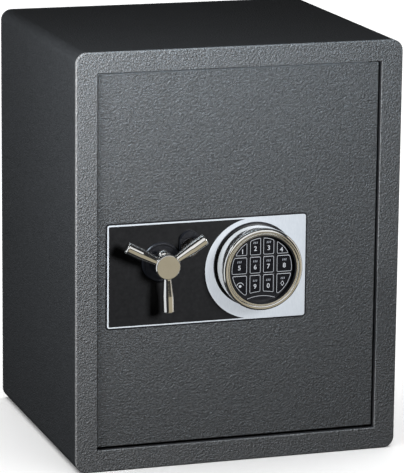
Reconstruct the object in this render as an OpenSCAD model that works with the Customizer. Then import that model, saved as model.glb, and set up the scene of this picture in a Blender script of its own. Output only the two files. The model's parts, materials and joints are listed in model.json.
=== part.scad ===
// Front-opening steel safe with a keypad lock, a three-spoke handle and an override key.
// Origin: centre of the footprint on the floor. +Z is up and the door faces -Y.

/* [Body] */
// Outside width
body_w = 360; // [350:5:420]
// Outside depth, without the handle and keypad
body_d = 310; // [290:5:400]
// Outside height
body_h = 450; // [440:5:520]
// Sheet thickness of the walls
wall = 4; // [3:0.5:5]
// Radius of the four long bends
corner_r = 12; // [8:1:14]

/* [Door] */
// Width of the frame at each side of the door
frame_side = 23.5; // [22:0.5:26]
// Height of the frame above the door
frame_top = 22.5; // [21:0.5:25]
// Height of the frame below the door
frame_bottom = 23.6; // [23:0.2:27]
// Gap at the hinge side of the door
hinge_gap = 2.2; // [2:0.1:3]
// Gap at the free side of the door
free_gap = 1.4; // [1:0.1:3]
// Gap above the door
top_gap = 1.6; // [1:0.1:3]
// Gap below the door
bottom_gap = 2.8; // [1:0.1:3]
// How far the door's face lies behind the frame's face
door_recess = 4.5; // [3:0.5:6]
// Thickness of the door plate
door_plate_t = 6; // [5:0.5:6]
// Depth of the boltwork space behind the door plate
door_depth = 49.5; // [48:0.5:52]

/* [Lock plate] */
// Width of the lock plate
plate_w = 220; // [216:1:224]
// Height of the lock plate
plate_h = 111; // [108:1:116]
// Height of the lock plate's centre above the floor
plate_z = 210.8; // [205:0.1:220]

/* [Keypad] */
// Diameter of the keypad's bezel
keypad_d = 88.8; // [88:0.2:90]
// Height of the bezel's rim above the lock plate
keypad_h = 30; // [29:0.5:33]
// Travel of a key
key_travel = 1; // [0.5:0.1:1]

/* [Handle] */
// Distance from the handle's axis to the end of a spoke
handle_reach = 50; // [46:1:56]
// Height of the hub's face above the lock plate
handle_h = 26; // [25:0.5:32]
// Angle of the first spoke from level
spoke_angle = 32.5; // [25:0.5:40]

/* [Boltwork] */
// Diameter of a locking bolt
bolt_d = 18; // [16:1:18]
// Travel of the locking bolts
bolt_throw = 18; // [17:0.5:18]
// Spacing of the locking bolts
bolt_pitch = 130; // [125:1:135]

/* [Inside] */
// Height of the shelf above the floor
shelf_z = 230; // [150:5:300]
// Thickness of the felt lining
felt_t = 3; // [2:0.5:4]
// Distance between the two anchor holes of each pair
anchor_span = 200; // [150:10:240]
// Diameter of an anchor hole
anchor_d = 12; // [10:1:14]

/* [Hidden] */
$fn = 64;

running = 0.06;     // radial clearance of a turning or sliding fit
free = 0.4;         // clearance beside a part that only passes

// Colours
paint = [0.24, 0.25, 0.27];
inner_paint = [0.16, 0.165, 0.18];
felt = [0.1, 0.1, 0.11];
steel = [0.62, 0.63, 0.65];
chrome = [0.86, 0.86, 0.87];
silver = [0.78, 0.8, 0.82];
black = [0.07, 0.07, 0.08];
brass = [0.78, 0.66, 0.36];
board = [0.1, 0.32, 0.18];

// Body
y_front = -body_d / 2;
y_back = body_d / 2;
side_in = body_w / 2 - wall;
front_in = y_front + wall;
back_in = y_back - wall;
jamb_t = 3;                       // thickness of the frame's returns
jamb_back = front_in + 21.5;      // rear edge of the returns
open_x = body_w / 2 - frame_side;
open_z0 = frame_bottom;
open_z1 = body_h - frame_top;

// Door
door_x = [-open_x + free_gap, open_x - hinge_gap];
door_z0 = open_z0 + bottom_gap;
door_z1 = open_z1 - top_gap;
y_door = y_front + door_recess;
y_plate_back = y_door + door_plate_t;
y_cover = y_plate_back + door_depth;
cover_t = 1.5;
hinge_in = 9;                     // from the door's edge to the hinge axis
hinge_x = door_x[1] - hinge_in;
hinge_y = y_plate_back;
pin_r = 4;
pin_reach = 10;                   // pin length past the edge of the door
pan_t = 2;
pan_x0 = -open_x + 13.5;
pan_x1 = hinge_x - 9.3;
pan_z0 = open_z0 + 11.4;
pan_z1 = open_z1 - 10.5;
flange_w = 12;
block_h = 10;
lug_h = 28;
lug_depth = 10;
stop_w = 4.5;
stop_t = 3;
dead_bar_t = 5;
dead_bar_h = 30;
dead_bar_reach = 25.3;

// Lock plate and what is on it
plate_x = -35.2;
backing_t = 0.7;
backing_rim = 1.8;
y_plate = y_door - 1.5;           // front face of the lock plate
inlay_t = 0.25;
y_inlay = y_plate - inlay_t;
border = 1.5;                     // bright border round the dark field
field_r = 55;                     // bright round field that holds the keypad
keypad_x = 17.3;
keypad_z = plate_z + 4.7;
keypad_base_r = 45.7;
keypad_base_h = 3;
skirt_r = 42.8;
rim_h = 4;
rim_in_r = 37.2;
bowl_t = 1.2;                     // wall round the keypad's face
face_h = keypad_h - 7;
face_t = 2.5;
key_field_r = 33.7;
key_proud = 1.2;
key_t = 4.2;
key_gap = 0.3;
board_t = 1.6;
board_h = face_h - face_t - 2;    // front of the board above the lock plate
cell_r = 7.2;                     // radius of a battery cell
cable_z = keypad_z + 6;
cable_r = 2.2;
cable_hole_r = 5;

// Key edges measured from the keypad's centre
key_cols = [[-34, -16.4], [-13.6, -1.2], [1.2, 13.6], [16.4, 34]];
key_rows = [[15.1, 34], [-4.7, 13.5], [-34, -6.2]];
arc_r = 56.1;                     // lower edge of the middle keys
arc_z = -81;

// Handle
handle_x = -86.4;
handle_z = plate_z + 13.2;
hub_r = 13.5;
hub_t = 16;
neck_r = 9;
rose_r = 21.5;
rose_t = 2.75;
spindle_r = 5;
bush_r = 8;
bush_flange_r = 11;
bush_flange_t = 1.9;
y_hub = y_inlay - handle_h;
spoke_back = 6;                   // spoke axis behind the hub's face
spoke_root_r = 4.6;
spoke_end_r = 6.3;
boss_angle = 105;
boss_r = 6.4;
boss_reach = 17.5;

// Boltwork
bolt_r = bolt_d / 2;
bolt_z = [plate_z + 14.2 - bolt_pitch, plate_z + 14.2, plate_z + 14.2 + bolt_pitch];
bolt_y = jamb_back + 2.5 + bolt_r;
bolt_tip = -open_x + 9.5;
bar_x = -100;
bar_t = 4;
bar_y1 = bolt_y + 12;
carriage_t = 3;
y_cam = y_plate_back + 2.3;
cam_t = 6;
cam_r = 17.5;
y_carriage = y_cam + cam_t + 0.7;
crank_r = bolt_throw / (2 * sin(45));
cam_pin_r = 3.5;
pin_slack = 0.6;                  // half the play of the cam pin in its slot
arm_z0 = plate_z + 43.2;
arm_h = 18;
arm_x1 = 28;
stud_x = [-80, -5];
stud_r = 4;
stud_z = arm_z0 + arm_h / 2;
tooth_w = 6;
tooth_gap = 1.5;

// Lock
lock_x = [-26, 35];
lock_z = [plate_z - 58.8, plate_z + 25.2];
lock_depth = 28.5;
lock_wall = 2.5;
lock_bolt_w = bolt_throw - tooth_w - 2 * tooth_gap;
lock_bolt_x = 0;
lock_bolt_y = [y_carriage - 2.5, y_carriage + 5.5];
lock_bolt_l = 30;
lid_t = 2;

// Override key lock
key_x = -55.5;
key_z = plate_z + 28;
barrel_r = 8;
plug_r = 5.5;
guard_r = 11.3;
guard_lift = 6.4;
guard_t = 2.75;
hood_t = 3.5;
y_guard = y_inlay - guard_t;
y_barrel_back = y_plate_back + 16.5;
key_cam_l = 18;

shelf_t = 2;
shelf_front = y_cover + 13;
shelf_lip = 12;
bracket_w = 12;

// A block between two corners, given as ranges
module block(x, y, z) {
    translate([x[0], y[0], z[0]]) cube([x[1] - x[0], y[1] - y[0], z[1] - z[0]]);
}

// A round bar along Y
module rod_y(x, z, y0, y1, r) {
    translate([x, y0, z]) rotate([-90, 0, 0]) cylinder(r = r, h = y1 - y0);
}

// A round bar along X
module rod_x(y, z, x0, x1, r) {
    translate([x0, y, z]) rotate([0, 90, 0]) cylinder(r = r, h = x1 - x0);
}

// An upright round bar
module rod_z(x, y, z0, z1, r) {
    translate([x, y, z0]) cylinder(r = r, h = z1 - z0);
}

// A plate that faces Y, with rounded corners
module slab_y(x, y, z, r) {
    union() {
        block([x[0] + r, x[1] - r], y, z);
        block(x, y, [z[0] + r, z[1] - r]);
        for (cx = [x[0] + r, x[1] - r], cz = [z[0] + r, z[1] - r]) rod_y(cx, cz, y[0], y[1], r);
    }
}

// A slot along X through a plate that faces Y
module slot_x(x0, x1, z, y, r) {
    block([x0, x1], y, [z - r, z + r]);
    rod_y(x0, z, y[0], y[1], r);
    rod_y(x1, z, y[0], y[1], r);
}

// A solid of revolution about an axis along Y; heights run towards -Y from y
module turned_y(x, y, z, points) {
    translate([x, y, z]) rotate([90, 0, 0]) rotate_extrude() polygon(points);
}

module body_outline(y, inset) {
    slab_y([-body_w / 2 + inset, body_w / 2 - inset], y, [inset, body_h - inset], corner_r - inset);
}

module anchor_pair_z(z0, z1, r) {
    for (x = [-anchor_span / 2, anchor_span / 2]) rod_z(x, 0, z0, z1, r);
}

// ---- Cabinet ----

module outer_shell() {
    color(paint) difference() {
        body_outline([front_in, back_in], 0);
        body_outline([front_in - 1, back_in + 1], wall);
        anchor_pair_z(-1, wall + 1, anchor_d / 2);
    }
}

module back_panel() {
    color(paint) difference() {
        body_outline([back_in, y_back], 0);
        for (x = [-anchor_span / 2, anchor_span / 2])
            rod_y(x, body_h / 2, back_in - 1, y_back + 1, anchor_d / 2);
    }
}

module front_frame() {
    color(paint) difference() {
        union() {
            body_outline([y_front, front_in], 0);
            block([-open_x - jamb_t, open_x + jamb_t], [front_in, jamb_back],
                  [open_z0 - jamb_t, open_z1 + jamb_t]);
        }
        block([-open_x, open_x], [y_front - 1, jamb_back + 1], [open_z0, open_z1]);
        rod_z(hinge_x, hinge_y, open_z0 - jamb_t - 1, open_z0 + 1, pin_r + 0.6);
        rod_z(hinge_x, hinge_y, open_z1 - 1, open_z1 + jamb_t + 1, pin_r + 0.6);
    }
}

module door_stop() {
    y = [y_plate_back + free, y_plate_back + free + stop_t];
    color(paint) union() {
        block([-open_x, -open_x + stop_w], y, [open_z0, open_z1]);
        block([-open_x, hinge_x - 20], y, [open_z0, open_z0 + stop_w]);
        block([-open_x, hinge_x - 20], y, [open_z1 - stop_w, open_z1]);
    }
}

module hinge_blocks() {
    color(steel) difference() {
        for (z = [open_z0 - jamb_t - block_h, open_z1 + jamb_t])
            block([hinge_x - 10, hinge_x + 10], [front_in, hinge_y + 10], [z, z + block_h]);
        rod_z(hinge_x, hinge_y, 0, body_h, pin_r + running);
    }
}

module floor_mat() {
    half_w = body_w / 2 - corner_r - 0.5;
    color(felt) difference() {
        block([-half_w, half_w], [jamb_back + 2, back_in - 1], [wall, wall + felt_t]);
        anchor_pair_z(wall - 1, wall + felt_t + 1, anchor_d / 2 + 8);
    }
}

module shelf() {
    color(paint) union() {
        block([-side_in + 1.5, side_in - 1.5], [shelf_front, back_in - 3],
              [shelf_z - shelf_t, shelf_z]);
        block([-side_in + 1.5, side_in - 1.5], [shelf_front, shelf_front + shelf_t],
              [shelf_z - shelf_lip, shelf_z - shelf_t]);
    }
}

module shelf_mat() {
    color(felt) block([-side_in + 4, side_in - 4], [shelf_front + 3, back_in - 5],
                      [shelf_z, shelf_z + felt_t]);
}

module shelf_brackets() {
    y = [shelf_front + 12, back_in - 8];
    z = shelf_z - shelf_t;
    color(paint) for (side = [-1, 1]) mirror([side < 0 ? 1 : 0, 0, 0]) union() {
        block([side_in - bracket_w, side_in], y, [z - shelf_t, z]);
        block([side_in - shelf_t, side_in], y, [z - bracket_w, z - shelf_t]);
    }
}

// ---- Door ----

module door_plate() {
    y = [y_door - 1, y_plate_back + 1];
    color(paint) difference() {
        block(door_x, [y_door, y_plate_back], [door_z0, door_z1]);
        rod_z(hinge_x, hinge_y, door_z0 - 1, door_z0 + lug_h, pin_r + running);
        rod_z(hinge_x, hinge_y, door_z1 - lug_h, door_z1 + 1, pin_r + running);
        rod_y(handle_x, handle_z, y[0], y[1], bush_r + running);
        rod_y(keypad_x, cable_z, y[0], y[1], cable_hole_r);
        rod_y(key_x, key_z, y[0], y[1], barrel_r + running);
    }
}

module door_pan() {
    y = [y_plate_back, y_cover];
    color(inner_paint) difference() {
        union() {
            difference() {
                block([pan_x0, pan_x1], y, [pan_z0, pan_z1]);
                block([pan_x0 + pan_t, pan_x1 - pan_t], [y[0] - 1, y[1] + 1],
                      [pan_z0 + pan_t, pan_z1 - pan_t]);
            }
            difference() {
                block([pan_x0, pan_x1], [y[1] - pan_t, y[1]], [pan_z0, pan_z1]);
                block([pan_x0 + flange_w, pan_x1 - flange_w], [y[0], y[1] + 1],
                      [pan_z0 + flange_w, pan_z1 - flange_w]);
            }
        }
        for (z = bolt_z) rod_x(bolt_y, z, pan_x0 - 1, pan_x0 + pan_t + 1, bolt_r + running);
        cover_screw_rods(y_cover - pan_t - 1, y_cover + 1, 1.6);
    }
}

// Places of the inner cover's screws
module cover_screw_rods(y0, y1, r) {
    inset = flange_w / 2;
    for (x = [pan_x0 + inset, (pan_x0 + pan_x1) / 2, pan_x1 - inset], z = [pan_z0 + inset, pan_z1 - inset])
        rod_y(x, z, y0, y1, r);
    for (x = [pan_x0 + inset, pan_x1 - inset]) rod_y(x, (pan_z0 + pan_z1) / 2, y0, y1, r);
}

module hinge_lugs() {
    color(steel) difference() {
        for (z = [door_z0, door_z1 - lug_h])
            block([hinge_x - 8, hinge_x + 8], [y_plate_back, y_plate_back + lug_depth], [z, z + lug_h]);
        rod_z(hinge_x, hinge_y, 0, body_h, pin_r + running);
    }
}

module hinge_pins() {
    color(steel) {
        rod_z(hinge_x, hinge_y, door_z0 - pin_reach, door_z0 + lug_h - 1, pin_r);
        rod_z(hinge_x, hinge_y, door_z1 - lug_h + 1, door_z1 + pin_reach, pin_r);
    }
}

module dead_bars() {
    y = jamb_back + 2;
    color(steel) for (z = bolt_z)
        block([pan_x1, pan_x1 + dead_bar_reach], [y, y + dead_bar_t],
              [z - dead_bar_h / 2, z + dead_bar_h / 2]);
}

module inner_cover() {
    color(inner_paint) difference() {
        block([pan_x0, pan_x1], [y_cover, y_cover + cover_t], [pan_z0, pan_z1]);
        cover_screw_rods(y_cover - 1, y_cover + cover_t + 1, 2.1);
    }
}

module cover_screws() {
    color(steel) union() {
        cover_screw_rods(y_cover + cover_t, y_cover + cover_t + 1.8, 3.6);
        cover_screw_rods(y_cover - 6, y_cover + cover_t, 1.55);
    }
}

// Holes through everything on the door's face
module face_holes(y0, y1) {
    rod_y(handle_x, handle_z, y0, y1, bush_r + running);
    rod_y(keypad_x, cable_z, y0, y1, cable_hole_r);
    rod_y(key_x, key_z, y0, y1, barrel_r + running);
}

module plate_shape(y, grow) {
    slab_y([plate_x - plate_w / 2 - grow, plate_x + plate_w / 2 + grow], y,
           [plate_z - plate_h / 2 - grow, plate_z + plate_h / 2 + grow], 2.5 + grow);
}

module fascia_backing() {
    color(black) difference() {
        plate_shape([y_door - backing_t, y_door], backing_rim);
        face_holes(y_door - 2, y_door + 1);
    }
}

module lock_plate() {
    color(silver) difference() {
        plate_shape([y_plate, y_door - backing_t], 0);
        face_holes(y_plate - 1, y_door + 1);
    }
}

module fascia_inlay() {
    color(black) difference() {
        plate_shape([y_inlay, y_plate], -border);
        rod_y(keypad_x, plate_z, y_inlay - 1, y_plate + 1, field_r);
        block([keypad_x, plate_x + plate_w], [y_inlay - 1, y_plate + 1],
              [plate_z - plate_h, plate_z + plate_h]);
        face_holes(y_inlay - 1, y_plate + 1);
    }
}

module handle_rose() {
    color(black) turned_y(handle_x, y_inlay, handle_z,
        [[spindle_r + 1, 0], [rose_r, 0], [rose_r, rose_t - 1], [rose_r - 1.4, rose_t],
         [neck_r + 4, rose_t], [neck_r + 3, rose_t - 0.8], [spindle_r + 1, rose_t - 0.8]]);
}

module spindle_bush() {
    color(brass) difference() {
        union() {
            rod_y(handle_x, handle_z, y_inlay + 0.1, y_plate_back, bush_r);
            rod_y(handle_x, handle_z, y_plate_back, y_plate_back + bush_flange_t, bush_flange_r);
        }
        rod_y(handle_x, handle_z, y_inlay - 1, y_plate_back + 5, spindle_r + running);
    }
}

module bolt_guides() {
    w = bolt_r + 4;
    color(steel) difference() {
        for (z = bolt_z)
            block([pan_x0 + pan_t, pan_x0 + pan_t + 14], [bolt_y - w, bolt_y + w], [z - w, z + w]);
        for (z = bolt_z) rod_x(bolt_y, z, pan_x0, pan_x0 + 30, bolt_r + running);
    }
}

module carriage_studs() {
    color(steel) for (x = stud_x) union() {
        rod_y(x, stud_z, y_plate_back, y_carriage + carriage_t + free, stud_r);
        rod_y(x, stud_z, y_plate_back, y_carriage - free, stud_r + 3);
        rod_y(x, stud_z, y_carriage + carriage_t + free, y_carriage + carriage_t + 3, stud_r + 3);
    }
}

// ---- Boltwork ----

module bolt_carriage() {
    y = [y_carriage, y_carriage + carriage_t];
    pin_x = handle_x + crank_r * sin(45);
    pin_z = [handle_z + crank_r * cos(45) - 0.5, handle_z + crank_r + 0.5];
    tooth_x = lock_bolt_x + lock_bolt_w + tooth_gap;
    color(steel) difference() {
        union() {
            block([bar_x, bar_x + bar_t], [y[0], bar_y1], [bolt_z[0] - 15, bolt_z[2] + 15]);
            block([bar_x, key_x - barrel_r - 4], y, [handle_z - 24, arm_z0 + arm_h]);
            block([bar_x, arm_x1], y, [arm_z0, arm_z0 + arm_h]);
            block([tooth_x, tooth_x + tooth_w], y, [arm_z0 - 14.5, arm_z0]);
        }
        for (r = [cam_pin_r + pin_slack]) {
            block([pin_x - r, pin_x + r], [y[0] - 1, y[1] + 1], pin_z);
            for (z = pin_z) rod_y(pin_x, z, y[0] - 1, y[1] + 1, r);
        }
        for (x = stud_x) slot_x(x, x + bolt_throw, stud_z, [y[0] - 1, y[1] + 1], stud_r + 0.1);
        for (z = bolt_z) rod_x(bolt_y, z, bar_x - 1, bar_x + bar_t + 1, 4 + running);
    }
}

module locking_bolts() {
    color(chrome) for (z = bolt_z) difference() {
        union() {
            translate([bolt_tip, bolt_y, z]) rotate([0, 90, 0]) rotate_extrude()
                polygon([[0, 0], [bolt_r - 2, 0], [bolt_r, 2], [bolt_r, bar_x - bolt_tip],
                         [4, bar_x - bolt_tip], [4, bar_x + bar_t - bolt_tip],
                         [7, bar_x + bar_t - bolt_tip], [7, bar_x + bar_t + 4 - bolt_tip],
                         [0, bar_x + bar_t + 4 - bolt_tip]]);
        }
        rod_x(bolt_y, z, bar_x + bar_t + 1.5, bar_x + bar_t + 6, 2.5);
    }
}

module drive_cam() {
    a = 45;
    color(steel) difference() {
        rod_y(handle_x, handle_z, y_cam, y_cam + cam_t, cam_r);
        rod_y(handle_x, handle_z, y_cam - 1, y_cam + 3.1, spindle_r);
        rod_y(handle_x, handle_z, y_cam, y_cam + cam_t + 1, 4.6);
        rod_y(handle_x + crank_r * sin(a), handle_z + crank_r * cos(a), y_cam + 1, y_cam + cam_t + 1,
              cam_pin_r);
    }
}

module cam_pin() {
    color(steel) rod_y(handle_x + crank_r * sin(45), handle_z + crank_r * cos(45),
                       y_cam + 1, y_carriage + carriage_t + 1.5, cam_pin_r);
}

module cam_screw() {
    color(steel) difference() {
        union() {
            rod_y(handle_x, handle_z, y_cam + 3.1, y_cam + cam_t, 4.5);
            rod_y(handle_x, handle_z, y_cam - 9, y_cam + 3.1, 2.45);
        }
        rod_y(handle_x, handle_z, y_cam + cam_t - 1.6, y_cam + cam_t + 1, 2);
    }
}

module spindle() {
    color(steel) difference() {
        rod_y(handle_x, handle_z, y_hub + 5, y_cam + 3.1, spindle_r);
        rod_y(handle_x, handle_z, y_cam - 9, y_cam + 4, 2.5);
    }
}

// ---- Handle ----

module handle_hub() {
    back = handle_h - rose_t - free;
    color(chrome) difference() {
        union() {
            turned_y(handle_x, y_hub, handle_z,
                [[0, 0], [hub_r - 1, 0], [hub_r, -1], [hub_r, 2 - hub_t], [hub_r - 2, -hub_t],
                 [neck_r, -hub_t], [neck_r, -back], [0, -back]]);
            translate([handle_x, y_hub + hub_t - 5.5, handle_z]) rotate([0, 90 - boss_angle, 0]) {
                cylinder(r = boss_r, h = boss_reach - boss_r);
                translate([0, 0, boss_reach - boss_r]) sphere(r = boss_r);
            }
        }
        rod_y(handle_x, handle_z, y_hub + 5, y_hub + 40, spindle_r + 0.02);
        for (i = [0:2]) spoke_place(i) cylinder(r = spoke_root_r + 0.02, h = hub_r + 2);
    }
}

// The axis of spoke i, from 7 mm off the handle's axis outwards
module spoke_place(i) {
    translate([handle_x, y_hub + spoke_back, handle_z]) rotate([0, 90 - spoke_angle - 120 * i, 0])
        translate([0, 0, 7]) children();
}

module handle_spokes() {
    l = handle_reach - 7;
    color(chrome) for (i = [0:2]) spoke_place(i) rotate_extrude()
        polygon([[0, 0], [spoke_root_r, 0], [spoke_root_r, 7], [spoke_end_r, 25],
                 [spoke_end_r, l - 1.8], [spoke_end_r - 1.8, l], [0, l]]);
}

// ---- Lock ----

module lock_case() {
    y = [y_plate_back, y_plate_back + lock_depth];
    bx = [lock_bolt_x - 0.1, lock_bolt_x + lock_bolt_w + 0.1];
    color(steel) difference() {
        union() {
            difference() {
                block(lock_x, y, lock_z);
                block([lock_x[0] + lock_wall, lock_x[1] - lock_wall], [y[0] + lock_wall, y[1] + 1],
                      [lock_z[0] + lock_wall, lock_z[1] - lock_wall]);
            }
            lock_screw_rods(y[0] + 1, y[1], 3.8);
        }
        lock_screw_rods(y[1] - 9, y[1] + 1, 1.55);
        block(bx, [lock_bolt_y[0] - 0.1, lock_bolt_y[1] + 0.1], [lock_z[1] - 10, lock_z[1] + 1]);
        rod_y(keypad_x, cable_z, y[0] - 1, y[0] + lock_wall + 1, cable_hole_r);
    }
}

module lock_lid() {
    y = y_plate_back + lock_depth;
    color(steel) difference() {
        block(lock_x, [y, y + lid_t], lock_z);
        lock_screw_rods(y - 1, y + lid_t + 1, 1.6);
    }
}

module lock_screw_rods(y0, y1, r) {
    for (x = [lock_x[0] + 6, lock_x[1] - 6], z = [lock_z[0] + 6, lock_z[1] - 6]) rod_y(x, z, y0, y1, r);
}

module lock_screws() {
    y = y_plate_back + lock_depth;
    color(steel) {
        lock_screw_rods(y - 8, y + lid_t, 1.5);
        lock_screw_rods(y + lid_t, y + lid_t + 2, 3);
    }
}

module lock_bolt() {
    x = [lock_bolt_x, lock_bolt_x + lock_bolt_w];
    color(brass) block(x, lock_bolt_y, [lock_z[1] - lock_bolt_l, lock_z[1] - 0.5]);
}

module lock_motor() {
    x = lock_bolt_x + lock_bolt_w / 2;
    y = (lock_bolt_y[0] + lock_bolt_y[1]) / 2;
    z = lock_z[0] + lock_wall;
    color(steel) union() {
        rod_z(x, y, z, z + 26, 6);
        rod_z(x, y, z + 26, lock_z[1] - lock_bolt_l - 1, 1.5);
    }
}

// ---- Keypad ----

module keypad_base() {
    color(black) difference() {
        turned_y(keypad_x, y_plate, keypad_z,
            [[0, 0], [keypad_base_r, 0], [keypad_base_r, keypad_base_h - 0.8],
             [keypad_base_r - 0.8, keypad_base_h], [skirt_r - 3, keypad_base_h], [skirt_r - 3, 1.8],
             [0, 1.8]]);
        rod_y(keypad_x, cable_z, y_plate - 3, y_plate + 1, cable_hole_r);
    }
}

module keypad_ring() {
    r = keypad_d / 2;
    b = keypad_base_h;
    color(chrome) turned_y(keypad_x, y_plate, keypad_z,
        [[skirt_r - 2, b], [skirt_r, b], [skirt_r, keypad_h - rim_h], [r - 0.6, keypad_h - rim_h],
         [r, keypad_h - rim_h + 0.6], [r, keypad_h - 1.6], [r - 1.6, keypad_h - 0.2],
         [(r + rim_in_r) / 2, keypad_h], [rim_in_r + 1, keypad_h - 0.4], [rim_in_r, keypad_h - 1.4],
         [rim_in_r, face_h - face_t], [skirt_r - 2, face_h - face_t]]);
}

// The outline of one key as a prism, from height h0 to h1 above the lock plate
module key_prism(col, row, h0, h1, grow) {
    x = key_cols[col];
    z = key_rows[row];
    y = [y_plate - h1, y_plate - h0];
    difference() {
        intersection() {
            block([keypad_x + x[0] - grow, keypad_x + x[1] + grow], y,
                  [keypad_z + z[0] - grow, keypad_z + z[1] + grow]);
            rod_y(keypad_x, keypad_z, y[0] - 1, y[1] + 1, key_field_r + grow);
        }
        if (row == 2) rod_y(keypad_x, keypad_z + arc_z, y[0] - 2, y[1] + 2, arc_r - grow);
    }
}

module key_body(col, row) {
    color(black) key_prism(col, row, face_h + key_proud - key_t, face_h + key_proud, 0);
}

module keypad_face() {
    r = rim_in_r - 0.1;
    color(black) difference() {
        turned_y(keypad_x, y_plate, keypad_z,
            [[0, face_h - face_t], [r, face_h - face_t], [r, keypad_h - 1.2], [r - bowl_t, keypad_h - 1.2],
             [r - bowl_t, face_h], [0, face_h]]);
        for (col = [0:3], row = [0:2]) key_prism(col, row, face_h - face_t - 1, face_h + 1, key_gap);
    }
}

module keypad_board() {
    y = [y_plate - board_h, y_plate - board_h + board_t];
    color(board) difference() {
        rod_y(keypad_x, keypad_z, y[0], y[1], skirt_r - 2.2);
        rod_y(keypad_x, cable_z, y[0] - 1, y[1] + 1, cable_r + 0.3);
    }
}

// Two cells side by side
module keypad_battery() {
    y = y_plate - 2.1 - cell_r;
    color(steel) union() {
        for (z = [keypad_z - 23.2, keypad_z - 23.2 + 2 * cell_r - 0.2]) {
            rod_x(y, z, keypad_x - 24.5, keypad_x + 24, cell_r);
            rod_x(y, z, keypad_x + 23, keypad_x + 25.5, 2.7);
        }
    }
}

// Route of the cable from the keypad's board into the lock
cable_route = [
    for (y = [y_plate - board_h + board_t - 0.2 : 4 : y_plate_back + 4]) [keypad_x, y, cable_z],
    for (a = [10 : 20 : 90]) [keypad_x, y_plate_back + 5 + 8 * sin(a), cable_z - 8 + 8 * cos(a)],
    for (d = [4 : 4 : 12]) [keypad_x, y_plate_back + 13, cable_z - 8 - d]
];
cable_sides = 8;

// The ring of points round one point of a route that stays in a plane of constant x
function cable_ring(i) =
    let (n = len(cable_route),
         t = cable_route[min(i + 1, n - 1)] - cable_route[max(i - 1, 0)],
         across = [0, -t[2], t[1]] / norm(t))
    [for (k = [0 : cable_sides - 1])
        cable_route[i] + cable_r * (cos(360 * k / cable_sides) * [1, 0, 0]
                                  + sin(360 * k / cable_sides) * across)];

module keypad_cable() {
    n = len(cable_route);
    s = cable_sides;
    color([0.6, 0.6, 0.62]) polyhedron(
        points = [for (i = [0 : n - 1]) each cable_ring(i)],
        faces = concat(
            [[for (k = [0 : s - 1]) k]],
            [for (i = [0 : n - 2], k = [0 : s - 1])
                [i * s + k, (i + 1) * s + k, (i + 1) * s + (k + 1) % s, i * s + (k + 1) % s]],
            [[for (k = [s - 1 : -1 : 0]) (n - 1) * s + k]]));
}

// ---- Override key lock ----

module key_escutcheon() {
    top = key_z + guard_lift;
    color(black) difference() {
        union() {
            rod_y(key_x, key_z, y_guard, y_inlay, guard_r);
            rod_y(key_x, top, y_guard, y_inlay, guard_r);
            block([key_x - guard_r, key_x + guard_r], [y_guard, y_inlay], [key_z, top]);
            intersection() {
                rod_y(key_x, top, y_guard - hood_t, y_guard, guard_r);
                block([key_x - 20, key_x + 20], [y_guard - 10, y_inlay], [key_z + barrel_r + 3, top + 20]);
            }
        }
        rod_y(key_x, key_z, y_guard - 1, y_inlay + 1, barrel_r + running);
    }
}

module key_barrel() {
    color(chrome) difference() {
        union() {
            rod_y(key_x, key_z, y_guard, y_barrel_back, barrel_r);
            rod_y(key_x, key_z, y_guard - 1.6, y_guard, barrel_r + 2.2);
        }
        rod_y(key_x, key_z, y_guard - 3, y_barrel_back + 1, plug_r + running);
    }
}

module key_plug() {
    y = [y_guard - 1.9, y_barrel_back + 4];
    color(steel) difference() {
        rod_y(key_x, key_z, y[0], y[1], plug_r);
        block([key_x - 1, key_x + 1], [y[0] - 1, y[0] + 18], [key_z - 3.8, key_z + 3.8]);
    }
}

module key_nut() {
    color(steel) difference() {
        translate([key_x, y_plate_back, key_z]) rotate([-90, 0, 0]) cylinder(r = 12, h = 4, $fn = 6);
        rod_y(key_x, key_z, y_plate_back - 1, y_plate_back + 5, barrel_r + running);
    }
}

module key_cam() {
    y = [y_barrel_back + 0.6, y_barrel_back + 3];
    color(steel) difference() {
        union() {
            rod_y(key_x, key_z, y[0], y[1], plug_r + 2.5);
            block([key_x - 4, key_x + 4], y, [key_z - key_cam_l + 4, key_z]);
            rod_y(key_x, key_z - key_cam_l + 4, y[0], y[1], 4);
        }
        rod_y(key_x, key_z, y[0] - 1, y[1] + 1, plug_r);
    }
}

outer_shell();
back_panel();
front_frame();
door_stop();
hinge_blocks();
floor_mat();
shelf();
shelf_mat();
shelf_brackets();
door_plate();
door_pan();
hinge_lugs();
hinge_pins();
dead_bars();
inner_cover();
cover_screws();
fascia_backing();
lock_plate();
fascia_inlay();
handle_rose();
spindle_bush();
bolt_guides();
carriage_studs();
lock_case();
lock_lid();
lock_motor();
lock_screws();
keypad_base();
keypad_ring();
keypad_face();
keypad_board();
keypad_battery();
keypad_cable();
key_body(0, 0);  // key_1
key_body(1, 0);  // key_2
key_body(2, 0);  // key_3
key_body(3, 0);  // key_4
key_body(0, 1);  // key_5
key_body(1, 1);  // key_6
key_body(2, 1);  // key_7
key_body(3, 1);  // key_8
key_body(0, 2);  // key_star
key_body(1, 2);  // key_9
key_body(2, 2);  // key_0
key_body(3, 2);  // key_enter
handle_hub();
handle_spokes();
spindle();
drive_cam();
cam_pin();
cam_screw();
bolt_carriage();
locking_bolts();
lock_bolt();
key_escutcheon();
key_barrel();
key_nut();
key_plug();
key_cam();
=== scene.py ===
"""Looks of a compact gun safe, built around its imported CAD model."""

import json
import math

import bmesh
import bpy
from mathutils import Matrix, Vector

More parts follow.
